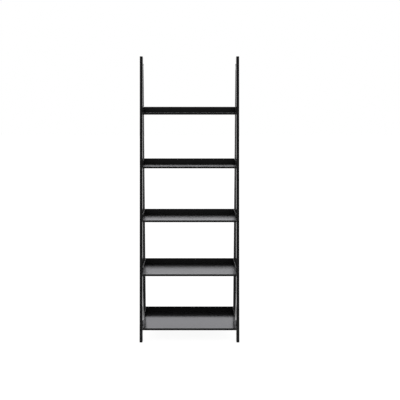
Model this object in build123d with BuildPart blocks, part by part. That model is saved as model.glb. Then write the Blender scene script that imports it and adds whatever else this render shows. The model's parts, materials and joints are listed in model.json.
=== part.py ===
"""Five-tier ladder shelf: leaning front legs, upright rear legs and folded sheet-steel trays.

Millimetres, +Z up, front towards -Y. The origin is on the floor, in the middle of the shelf's
width and depth.
"""

import os
from math import acos, atan2, cos, degrees, hypot, radians, sin, tan

from build123d import *

# Overall size
overall_width = 632.0
overall_depth = 362.0
overall_height = 1795.0

# Leg tubes; the rear legs end lower than the front ones, with a gap between them there
leg_width = 18.0
front_leg_depth = 45.0
rear_leg_depth = 25.0
rear_leg_drop = 43.0
top_gap = 26.8
tube_wall = 1.2
tube_corner_radius = 1.6

# Short tube that joins the tops of the legs
spacer_height = 25.0
spacer_drop = 10.0

# Plastic caps and foot plugs
cap_thickness = 3.0
cap_chamfer = 0.8
foot_thickness = 3.0
plug_length = 20.0
plug_wall = 2.0
plug_clearance = 0.15

# Trays, from the top one down
tray_names = ("top", "second", "middle", "fourth", "bottom")
tray_pitch = 338.0
bottom_tray_height = 88.0
sheet = 1.0
bend_radius = 0.8
lip_height = 37.0
hem_height = 8.0
hem_rounding = 0.8
lip_front_radius = 6.0
bend_relief = 2.0
front_fold_height = 13.0
front_return = 10.0
front_setback = 0.5
side_clearance = 0.3
rear_setback = 2.0

# Screws and the threaded rivet nuts that they go into
screw_diameter = 6.0
screw_length = 13.0
screw_head_diameter = 10.0
screw_head_height = 2.8
socket_width = 4.0
socket_depth = 1.8
screw_height = 14.0
screw_clearance = 0.25
nut_width = 9.0
nut_length = 11.0
nut_thread_clearance = 0.1
nut_hole_clearance = 0.1

# The front legs lean until their rear faces leave the top gap in front of the rear legs' tops
rear_leg_top = overall_height - rear_leg_drop
lean_run = overall_depth - rear_leg_depth - top_gap
lean_angle = degrees(acos(front_leg_depth / hypot(lean_run, rear_leg_top)) - atan2(rear_leg_top, lean_run))
slope = tan(radians(lean_angle))

# Other sizes that follow from the ones above
front_foot_y = -overall_depth / 2
rear_face_y = overall_depth / 2
rear_leg_front_y = rear_face_y - rear_leg_depth
leg_centre_x = (overall_width - leg_width) / 2
leg_inner_x = overall_width / 2 - leg_width
tray_width = 2 * (leg_inner_x - side_clearance)
outer_bend_radius = bend_radius + sheet
front_leg_length = overall_height / cos(radians(lean_angle))
sides = {"left": -1, "right": 1}


def front_face_y(height):
    """Where the front legs' front faces stand at a height above the floor."""
    return front_foot_y + height * slope


def tray_height(tier):
    """Height of a tray's upper face; tier 0 is the top tray."""
    return bottom_tray_height + (len(tray_names) - 1 - tier) * tray_pitch


def screw_places(tier):
    """(y, z) of a tray's front and rear screws, each on the middle line of its leg."""
    height = tray_height(tier) + screw_height
    half_depth = front_leg_depth / 2 / cos(radians(lean_angle))
    return [
        (front_face_y(height) + half_depth, height),
        (rear_face_y - rear_leg_depth / 2, height),
    ]


def leg_plane(side, front_y, angle, along=0.0):
    """Plane square to a leg, centred on its front face, a distance along it from the floor."""
    axis = Vector(0, sin(radians(angle)), cos(radians(angle)))
    foot = Vector(side * leg_centre_x, front_y, 0)
    return Plane(origin=foot + axis * along, x_dir=(1, 0, 0), z_dir=axis)


def tube_outline(depth, inset, mode=Mode.ADD):
    """Section of a leg whose front face lies on the plane's X axis; inset ones have square corners."""
    with Locations((0, depth / 2)):
        if inset:
            Rectangle(leg_width - 2 * inset, depth - 2 * inset, mode=mode)
        else:
            RectangleRounded(leg_width, depth, tube_corner_radius, mode=mode)


def hidden_round(radius, around, mode=Mode.ADD, side_count=12):
    """Few-sided stand-in for a fastener's hidden round section, around its circle or inside it."""
    RegularPolygon(radius, side_count, major_radius=not around, mode=mode)


def keep(piece, node):
    """Label a finished piece and write it to its own file."""
    piece.part.label = node
    export_step(piece.part, f"parts/{node}.step")


def build_leg(side, front_y, angle, depth, length, hole_places):
    """Hollow leg, level at the floor and square at the top, with holes in its inner wall."""
    with BuildPart() as leg:
        with BuildSketch(leg_plane(side, front_y, angle, -depth)):
            tube_outline(depth, 0)
            tube_outline(depth, tube_wall, mode=Mode.SUBTRACT)
        extrude(amount=length - cap_thickness + depth)
        split(bisect_by=Plane.XY.offset(foot_thickness), keep=Keep.TOP)
        with BuildSketch(Plane.YZ.offset(side * leg_inner_x)):
            with Locations(*hole_places):
                RegularPolygon(nut_width / 2 + nut_hole_clearance, 6, major_radius=False, rotation=90)
        extrude(amount=side * leg_width / 2, mode=Mode.SUBTRACT)
    return leg


def build_cap(side, front_y, angle, depth, length):
    """Plastic end cap: a chamfered head on the tube and a hollow plug inside it."""
    head_plane = leg_plane(side, front_y, angle, length - cap_thickness)
    plug_inset = tube_wall + plug_clearance
    with BuildPart() as cap:
        with BuildSketch(head_plane):
            tube_outline(depth, 0)
        extrude(amount=cap_thickness)
        head_top = cap.faces().sort_by(Axis(head_plane.origin, head_plane.z_dir))[-1]
        chamfer(head_top.edges(), cap_chamfer)
        with BuildSketch(head_plane):
            tube_outline(depth, plug_inset)
            tube_outline(depth, plug_inset + plug_wall, mode=Mode.SUBTRACT)
        extrude(amount=-plug_length)
    return cap


def build_foot(side, front_y, angle, depth):
    """Plastic foot plug: a level pad under the tube and a hollow plug that follows its slope."""
    start_plane = leg_plane(side, front_y, angle, -depth)
    plug_inset = tube_wall + plug_clearance
    with BuildPart() as plug:
        with BuildSketch(start_plane):
            tube_outline(depth, plug_inset)
            tube_outline(depth, plug_inset + plug_wall, mode=Mode.SUBTRACT)
        extrude(amount=depth + foot_thickness + plug_length)
        split(bisect_by=Plane.XY.offset(foot_thickness), keep=Keep.TOP)
    with BuildPart() as foot:
        with BuildSketch(start_plane):
            tube_outline(depth, 0)
        extrude(amount=2 * depth)
        split(bisect_by=Plane.XY, keep=Keep.TOP)
        split(bisect_by=Plane.XY.offset(foot_thickness), keep=Keep.BOTTOM)
        add(plug.part)
    return foot


def build_spacer(side):
    """Short level tube between the legs' tops, cut to the front leg's slope."""
    centre_z = rear_leg_top - cap_thickness - spacer_drop - spacer_height / 2
    leg_back = leg_plane(side, front_foot_y, lean_angle)
    cut = Plane(
        origin=leg_back.origin + leg_back.y_dir * front_leg_depth,
        x_dir=(1, 0, 0),
        z_dir=leg_back.y_dir,
    )
    with BuildPart() as spacer:
        with BuildSketch(Plane.XZ.offset(-rear_leg_front_y)):
            with Locations((side * leg_centre_x, centre_z)):
                RectangleRounded(leg_width, spacer_height, tube_corner_radius)
                Rectangle(leg_width - 2 * tube_wall, spacer_height - 2 * tube_wall, mode=Mode.SUBTRACT)
        extrude(amount=overall_depth)
        split(bisect_by=cut, keep=Keep.TOP)
    return spacer


def tray_block(front_y, inset, bottom, top, rounding=0.0):
    """Block inside the tray's outline, with its lower side and back edges rounded if asked."""
    back_y = rear_face_y - rear_setback - inset
    with BuildPart(mode=Mode.PRIVATE) as block:
        with BuildSketch(Plane.XY.offset(bottom)):
            with Locations((0, (front_y + back_y) / 2)):
                Rectangle(tray_width - 2 * inset, back_y - front_y)
        extrude(amount=top - bottom)
        if rounding:
            fillet(block.faces().sort_by(Axis.Z)[0].edges().sort_by(Axis.Y)[1:], rounding)
    return block.part


def build_tray(tier):
    """Folded tray: plate, hemmed side and back lips, and a front edge folded down and under."""
    plate_top = tray_height(tier)
    plate_middle = plate_top - sheet / 2
    lip_top = plate_top + lip_height
    hem_bottom = lip_top - hem_height
    front_y = front_face_y(plate_top) + front_setback
    bend_end_y = front_y + outer_bend_radius
    lip_front_y = bend_end_y + bend_relief
    lip_tip_y = lip_front_y + lip_height * slope
    with BuildPart() as tray:
        # Plate and lips: a rounded block hollowed by one sheet, and by two behind the hems
        add(tray_block(bend_end_y, 0, plate_top - sheet, lip_top, outer_bend_radius))
        add(tray_block(front_y, sheet, plate_top, hem_bottom, bend_radius), mode=Mode.SUBTRACT)
        add(tray_block(front_y, 2 * sheet, hem_bottom, lip_top), mode=Mode.SUBTRACT)
        hem_edges = tray.faces().sort_by(Axis.Z)[-1].edges()
        fillet([edge for edge in hem_edges if edge.length > 2 * sheet + hem_rounding], hem_rounding)

        # Side lips' front ends, cut to the legs' slope and rounded
        with BuildSketch(Plane.YZ):
            with BuildLine():
                FilletPolyline(
                    (lip_front_y, plate_top),
                    (lip_tip_y, lip_top),
                    (lip_tip_y + 2 * lip_front_radius, lip_top),
                    radius=lip_front_radius,
                )
                Polyline(
                    (lip_tip_y + 2 * lip_front_radius, lip_top),
                    (lip_tip_y + 2 * lip_front_radius, lip_top + sheet),
                    (front_y, lip_top + sheet),
                    (front_y, plate_top),
                    (lip_front_y, plate_top),
                )
            make_face()
        extrude(amount=tray_width, both=True, mode=Mode.SUBTRACT)

        # Front edge: folded down, then under
        with BuildSketch(Plane.YZ):
            with BuildLine():
                FilletPolyline(
                    (lip_front_y, plate_middle),
                    (front_y + sheet / 2, plate_middle),
                    (front_y + sheet / 2, plate_top - front_fold_height + sheet / 2),
                    (front_y + front_return, plate_top - front_fold_height + sheet / 2),
                    radius=bend_radius + sheet / 2,
                )
            trace(line_width=sheet)
        extrude(amount=tray_width / 2, both=True)

        # Screw holes through both side lips
        with BuildSketch(Plane.YZ):
            with Locations(*screw_places(tier)):
                hidden_round(screw_diameter / 2 + screw_clearance, around=True)
        extrude(amount=tray_width, both=True, mode=Mode.SUBTRACT)
    return tray


def build_screw():
    """Low-head screw along +Z with a hex socket; the underside of its head is at the origin."""
    with BuildPart() as screw:
        with BuildSketch():
            hidden_round(screw_diameter / 2, around=False)
        extrude(amount=screw_length)
        with BuildSketch():
            Circle(screw_head_diameter / 2)
        extrude(amount=-screw_head_height)
        with BuildSketch(Plane.XY.offset(-screw_head_height)):
            RegularPolygon(socket_width / 2, 6, major_radius=False)
        extrude(amount=socket_depth, mode=Mode.SUBTRACT)
    return screw


def build_rivet_nut():
    """Hex-bodied rivet nut along +Z, flush with the outside of the tube wall at the origin."""
    with BuildPart() as nut:
        with BuildSketch():
            RegularPolygon(nut_width / 2, 6, major_radius=False)
            hidden_round(screw_diameter / 2 + nut_thread_clearance, around=True, mode=Mode.SUBTRACT)
        extrude(amount=nut_length)
    return nut


def build_group(fastener, tier, inner_x):
    """Four copies of a fastener, one at each leg, each pointing outwards from the tray."""
    places = [
        Location((side * inner_x, y, z), (0, side * 90, 0))
        for side in sides.values()
        for y, z in screw_places(tier)
    ]
    with BuildPart() as group:
        with Locations(*places):
            add(fastener.part)
    return group


os.makedirs("parts", exist_ok=True)

tiers = range(len(tray_names))
front_holes = [screw_places(tier)[0] for tier in tiers]
rear_holes = [screw_places(tier)[1] for tier in tiers]

for side_name, side in sides.items():
    front_leg = (side, front_foot_y, lean_angle, front_leg_depth)
    rear_leg = (side, rear_leg_front_y, 0, rear_leg_depth)
    keep(build_leg(*front_leg, front_leg_length, front_holes), f"{side_name}_front_leg")
    keep(build_leg(*rear_leg, rear_leg_top, rear_holes), f"{side_name}_rear_leg")
    keep(build_cap(*front_leg, front_leg_length), f"{side_name}_front_cap")
    keep(build_cap(*rear_leg, rear_leg_top), f"{side_name}_rear_cap")
    keep(build_foot(*front_leg), f"{side_name}_front_foot")
    keep(build_foot(*rear_leg), f"{side_name}_rear_foot")
    keep(build_spacer(side), f"{side_name}_top_spacer")

screw = build_screw()
rivet_nut = build_rivet_nut()
lip_inner_x = tray_width / 2 - sheet

for tier, tray_name in enumerate(tray_names):
    keep(build_tray(tier), f"{tray_name}_tray")
    keep(build_group(screw, tier, lip_inner_x), f"{tray_name}_tray_screws")
    keep(build_group(rivet_nut, tier, leg_inner_x), f"{tray_name}_tray_rivet_nuts")
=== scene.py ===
import json
from math import radians

import bpy
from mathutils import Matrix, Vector


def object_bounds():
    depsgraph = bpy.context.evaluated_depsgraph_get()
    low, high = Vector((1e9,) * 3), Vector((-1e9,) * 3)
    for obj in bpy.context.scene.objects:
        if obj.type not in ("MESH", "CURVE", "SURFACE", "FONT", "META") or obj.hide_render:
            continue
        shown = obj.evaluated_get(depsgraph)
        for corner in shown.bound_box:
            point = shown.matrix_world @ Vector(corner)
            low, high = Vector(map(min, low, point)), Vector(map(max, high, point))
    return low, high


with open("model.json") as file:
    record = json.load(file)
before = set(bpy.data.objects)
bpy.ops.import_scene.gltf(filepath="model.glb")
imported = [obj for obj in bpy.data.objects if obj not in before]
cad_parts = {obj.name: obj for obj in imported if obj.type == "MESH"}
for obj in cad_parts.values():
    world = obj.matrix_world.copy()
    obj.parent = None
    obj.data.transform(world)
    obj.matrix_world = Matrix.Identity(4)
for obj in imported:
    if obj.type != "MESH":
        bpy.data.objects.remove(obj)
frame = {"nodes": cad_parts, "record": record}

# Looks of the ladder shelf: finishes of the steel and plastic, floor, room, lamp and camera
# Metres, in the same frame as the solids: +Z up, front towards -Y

cad_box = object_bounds()
lowest_corner, highest_corner = cad_box
shelf_middle = (Vector(lowest_corner) + Vector(highest_corner)) / 2

# Camera of the photograph: pixels of a 400 x 400 frame, degrees, and a sensor in millimetres
frame_pixels = 400
focal_pixels = 658.8
object_centre_pixel = 189.47
camera_distance = 4.183
camera_height = 1.473
level_tilt = 90.0
camera_pitch = 8.0
sensor_width = 36.0

# Floor and plain studio light
floor_size = 60.0
floor_grey = 0.20
floor_glow = 0.92
studio_level = 0.9
backdrop_level = 1.0
backdrop_white = (1.0, 1.0, 1.0, 1.0)

# Room that the paint mirrors: dimmer in front of the shelf than behind it, and dimmer higher up
front_room_share = 0.27
back_room_share = 1.0
horizon_room_level = 1.0
upper_room_level = 0.7

# Where the room changes, as parts of a unit direction, and where the mirrored floor does, in metres
dim_room_end = -0.3
bright_room_start = 0.5
horizon_height = 0.0
upper_room_height = 0.6
dim_floor_end = -0.4
bright_floor_start = 0.2

# One large soft lamp, high behind the shelf
lamp_place = (0.0, 11.4, 5.8)
lamp_size = 5.5
lamp_power = 158.0
lamp_colour = (0.94, 0.94, 1.0)

# Middle part of a noise's range, where most of its values are
noise_low = 0.3
noise_high = 0.7

# Powder coat: its uneven patches, orange peel and fine grain, then its blacks, roughness and mirror level
coat_patch = 0.09
peel_size = 0.0022
peel_height = 0.00001
coat_grain = 0.0004
coat_grain_height = 0.000002
# Frame and trays share one black paint: the frame's blacks are set a little darker as painted shade, the
# trays' a little lighter as painted light, each with the paint's own random patches
frame_blacks_painted_shade = ((0.0055, 0.0055, 0.0058), (0.0072, 0.0072, 0.0076))
tray_blacks_painted_light = ((0.0074, 0.0074, 0.0077), (0.0094, 0.0094, 0.0098))
frame_roughness = (0.25, 0.29)
tray_roughness = (0.32, 0.34)
bottom_tray_roughness = (0.17, 0.19)
coat_mirror_level = 0.3
bottom_tray_mirror_level = 0.12

# Moulded plastic of the caps and plugs
plastic_patch = 0.012
plastic_grain = 0.0006
plastic_grain_height = 0.00004
plastic_grain_strength = 0.6
plastic_blacks = ((0.008, 0.008, 0.0085), (0.013, 0.013, 0.0135))
plastic_roughness = (0.5, 0.66)
plastic_mirror_level = 0.35

# Plated steel of the screws and rivet nuts
plating_patch = 0.004
plating_grain = 0.0005
plating_grain_height = 0.00002
plating_grain_strength = 0.4
screw_blacks = ((0.02, 0.02, 0.021), (0.035, 0.035, 0.036))
screw_roughness = (0.36, 0.5)
zinc_greys = ((0.5, 0.5, 0.5), (0.62, 0.62, 0.63))
zinc_roughness = (0.3, 0.44)


def add_node(tree, kind, **values):
    """Add a shader node; each value sets a property or, failing that, an input of that name."""
    node = tree.nodes.new(kind)
    for name, value in values.items():
        if hasattr(node, name):
            setattr(node, name, value)
        else:
            node.inputs[name.replace("_", " ").title()].default_value = value
    return node


def add_axes(tree, space):
    """X, Y and Z of a texture space, as a node's outputs."""
    place = add_node(tree, "ShaderNodeTexCoord")
    axes = add_node(tree, "ShaderNodeSeparateXYZ")
    tree.links.new(place.outputs[space], axes.inputs["Vector"])
    return axes.outputs


def add_noise(tree, grain, detail=2.0):
    """Noise in the part's own space whose blobs are about one grain (in metres) across."""
    place = add_node(tree, "ShaderNodeTexCoord")
    noise = add_node(tree, "ShaderNodeTexNoise", scale=1.0 / grain, detail=detail)
    tree.links.new(place.outputs["Object"], noise.inputs["Vector"])
    return noise.outputs["Fac"]


def add_range(tree, source, low, high, source_low=noise_low, source_high=noise_high):
    """Spread a part of a source's range, for a noise its middle, over the range from low to high."""
    spread = add_node(
        tree, "ShaderNodeMapRange", from_min=source_low, from_max=source_high, to_min=low, to_max=high
    )
    tree.links.new(source, spread.inputs["Value"])
    return spread.outputs["Result"]


def add_colours(tree, source, dark, light):
    """Blend between two colours by a noise."""
    ramp = add_node(tree, "ShaderNodeValToRGB")
    stops = ((noise_low, dark), (noise_high, light))
    for element, (position, colour) in zip(ramp.color_ramp.elements, stops):
        element.position = position
        element.color = (*colour, 1.0)
    tree.links.new(source, ramp.inputs["Fac"])
    return ramp.outputs["Color"]


def add_bump(tree, source, height, strength=1.0, under=None):
    """Surface relief of the given height in metres, on top of another relief if there is one."""
    bump = add_node(tree, "ShaderNodeBump", strength=strength, distance=height)
    tree.links.new(source, bump.inputs["Height"])
    if under is not None:
        tree.links.new(under, bump.inputs["Normal"])
    return bump.outputs["Normal"]


def add_maths(tree, operation, first, second):
    """Result of a maths operation on two sources."""
    result = add_node(tree, "ShaderNodeMath", operation=operation)
    tree.links.new(first, result.inputs[0])
    tree.links.new(second, result.inputs[1])
    return result.outputs["Value"]


def add_choice(tree, share, off, on):
    """Off where the share is 0 and on where it is 1; each of the two is a source or a number."""
    choice = add_node(tree, "ShaderNodeMix", data_type="FLOAT")
    tree.links.new(share, choice.inputs["Factor"])
    for name, value in (("A", off), ("B", on)):
        if isinstance(value, float):
            choice.inputs[name].default_value = value
        else:
            tree.links.new(value, choice.inputs[name])
    return choice.outputs["Result"]


def camera_ray(tree):
    """1 for rays that come straight from the camera."""
    return add_node(tree, "ShaderNodeLightPath").outputs["Is Camera Ray"]


def seen_directly(tree):
    """1 for camera, mirror and see-through rays, and 0 for rays that only carry light to the object."""
    path = add_node(tree, "ShaderNodeLightPath")
    seen = path.outputs["Is Camera Ray"]
    for ray in ("Is Glossy Ray", "Is Transmission Ray"):
        seen = add_maths(tree, "MAXIMUM", seen, path.outputs[ray])
    return seen


def new_material(name):
    """Material with a plain Principled shader: returns it, its node tree and the shader."""
    material = bpy.data.materials.new(name)
    material.use_nodes = True
    tree = material.node_tree
    return material, tree, tree.nodes["Principled BSDF"]


def dress(tree, shader, colour, roughness, relief):
    """Link a colour, a roughness and a relief to a shader."""
    tree.links.new(colour, shader.inputs["Base Color"])
    tree.links.new(roughness, shader.inputs["Roughness"])
    tree.links.new(relief, shader.inputs["Normal"])


def powder_coat(name, blacks, roughness, mirror_level):
    """Satin black powder coat: orange peel, fine sparkle-free grain and a slightly uneven sheen."""
    material, tree, shader = new_material(name)
    uneven = add_noise(tree, coat_patch, detail=3.0)
    colour = add_colours(tree, uneven, *blacks)
    sheen = add_range(tree, uneven, *roughness)
    peel = add_bump(tree, add_noise(tree, peel_size), peel_height)
    relief = add_bump(tree, add_noise(tree, coat_grain), coat_grain_height, under=peel)
    dress(tree, shader, colour, sheen, relief)
    shader.inputs["Specular IOR Level"].default_value = mirror_level
    return material


def moulded_plastic(name):
    """Matte black moulded plastic with a fine spark-eroded texture."""
    material, tree, shader = new_material(name)
    grain = add_noise(tree, plastic_grain, detail=4.0)
    colour = add_colours(tree, add_noise(tree, plastic_patch), *plastic_blacks)
    sheen = add_range(tree, grain, *plastic_roughness)
    relief = add_bump(tree, grain, plastic_grain_height, plastic_grain_strength)
    dress(tree, shader, colour, sheen, relief)
    shader.inputs["Specular IOR Level"].default_value = plastic_mirror_level
    return material


def plated_steel(name, colours, roughness):
    """Plated steel with a fine uneven finish."""
    material, tree, shader = new_material(name)
    grain = add_noise(tree, plating_grain, detail=3.0)
    colour = add_colours(tree, add_noise(tree, plating_patch), *colours)
    sheen = add_range(tree, grain, *roughness)
    relief = add_bump(tree, grain, plating_grain_height, plating_grain_strength)
    dress(tree, shader, colour, sheen, relief)
    shader.inputs["Metallic"].default_value = 1.0
    return material


def floor_material():
    """Matt grey with a glow that makes it look white, and dimmer in front where the paint mirrors it."""
    material, tree, shader = new_material("floor")
    tree.nodes.remove(shader)
    matt = add_node(tree, "ShaderNodeBsdfDiffuse")
    matt.inputs["Color"].default_value = (floor_grey, floor_grey, floor_grey, 1.0)

    depth = add_axes(tree, "Object")["Y"]
    front_glow = floor_glow * front_room_share
    back_glow = floor_glow * back_room_share
    mirrored = add_range(tree, depth, front_glow, back_glow, dim_floor_end, bright_floor_start)
    level = add_choice(tree, camera_ray(tree), mirrored, floor_glow)
    glow = add_node(tree, "ShaderNodeEmission")
    tree.links.new(add_maths(tree, "MULTIPLY", seen_directly(tree), level), glow.inputs["Strength"])

    both = add_node(tree, "ShaderNodeAddShader")
    tree.links.new(matt.outputs["BSDF"], both.inputs[0])
    tree.links.new(glow.outputs["Emission"], both.inputs[1])
    tree.links.new(both.outputs["Shader"], tree.nodes["Material Output"].inputs["Surface"])
    return material


def build_floor():
    """Pale floor that looks white but still takes the object's shadow."""
    corner = floor_size / 2
    corners = [(-corner, -corner, 0), (corner, -corner, 0), (corner, corner, 0), (-corner, corner, 0)]
    mesh = bpy.data.meshes.new("floor")
    mesh.from_pydata(corners, [], [(0, 1, 2, 3)])
    mesh.materials.append(floor_material())
    floor = bpy.data.objects.new("floor", mesh)
    bpy.context.scene.collection.objects.link(floor)


def build_world():
    """White background, soft even studio light, and a room for the paint to mirror."""
    world = bpy.data.worlds.new("studio")
    world.use_nodes = True
    tree = world.node_tree
    axes = add_axes(tree, "Generated")
    depth_share = add_range(
        tree, axes["Y"], front_room_share, back_room_share, dim_room_end, bright_room_start
    )
    height_level = add_range(
        tree, axes["Z"], horizon_room_level, upper_room_level, horizon_height, upper_room_height
    )
    room = add_maths(tree, "MULTIPLY", depth_share, height_level)
    seen = add_choice(tree, camera_ray(tree), room, backdrop_level)
    level = add_choice(tree, seen_directly(tree), studio_level, seen)
    background = tree.nodes["Background"]
    background.inputs["Color"].default_value = backdrop_white
    tree.links.new(level, background.inputs["Strength"])
    bpy.context.scene.world = world


def build_lamp():
    """Square soft lamp, turned to the middle of the shelf."""
    data = bpy.data.lights.new("back softbox", "AREA")
    data.size = lamp_size
    data.energy = lamp_power
    data.color = lamp_colour
    lamp = bpy.data.objects.new("back softbox", data)
    lamp.location = lamp_place
    direction = shelf_middle - Vector(lamp_place)
    lamp.rotation_euler = direction.to_track_quat("-Z", "Y").to_euler()
    bpy.context.scene.collection.objects.link(lamp)


def build_camera():
    """Camera at the photograph's viewing angle."""
    data = bpy.data.cameras.new("camera")
    data.sensor_fit = "HORIZONTAL"
    data.sensor_width = sensor_width
    data.lens = focal_pixels / frame_pixels * sensor_width
    data.shift_x = (frame_pixels / 2 - object_centre_pixel) / frame_pixels
    camera = bpy.data.objects.new("camera", data)
    camera.location = (0.0, -camera_distance, camera_height)
    camera.rotation_euler = (radians(level_tilt - camera_pitch), 0.0, 0.0)
    bpy.context.scene.collection.objects.link(camera)
    bpy.context.scene.camera = camera


# One material for each slot of the record, and a smoother coat for the bottom tray
# The frame's coat carries darker blacks as painted shade, the trays' coats lighter blacks as painted
# light
slot_materials = {
    "frame_paint": powder_coat("frame_paint", frame_blacks_painted_shade, frame_roughness, coat_mirror_level),
    "tray_paint": powder_coat("tray_paint", tray_blacks_painted_light, tray_roughness, coat_mirror_level),
    "black_plastic": moulded_plastic("black_plastic"),
    "black_screws": plated_steel("black_screws", screw_blacks, screw_roughness),
    "zinc_nuts": plated_steel("zinc_nuts", zinc_greys, zinc_roughness),
}
node_materials = {
    "bottom_tray": powder_coat(
        "bottom_tray_paint", tray_blacks_painted_light, bottom_tray_roughness, bottom_tray_mirror_level
    ),
}
for subpart in frame["record"]["subparts"]:
    node = subpart["node"]
    mesh = frame["nodes"][node].data
    mesh.materials.clear()
    mesh.materials.append(node_materials.get(node, slot_materials[subpart["material_slot"]]))

build_floor()
build_world()
build_lamp()
build_camera()

bpy.context.scene.view_settings.view_transform = "Standard"
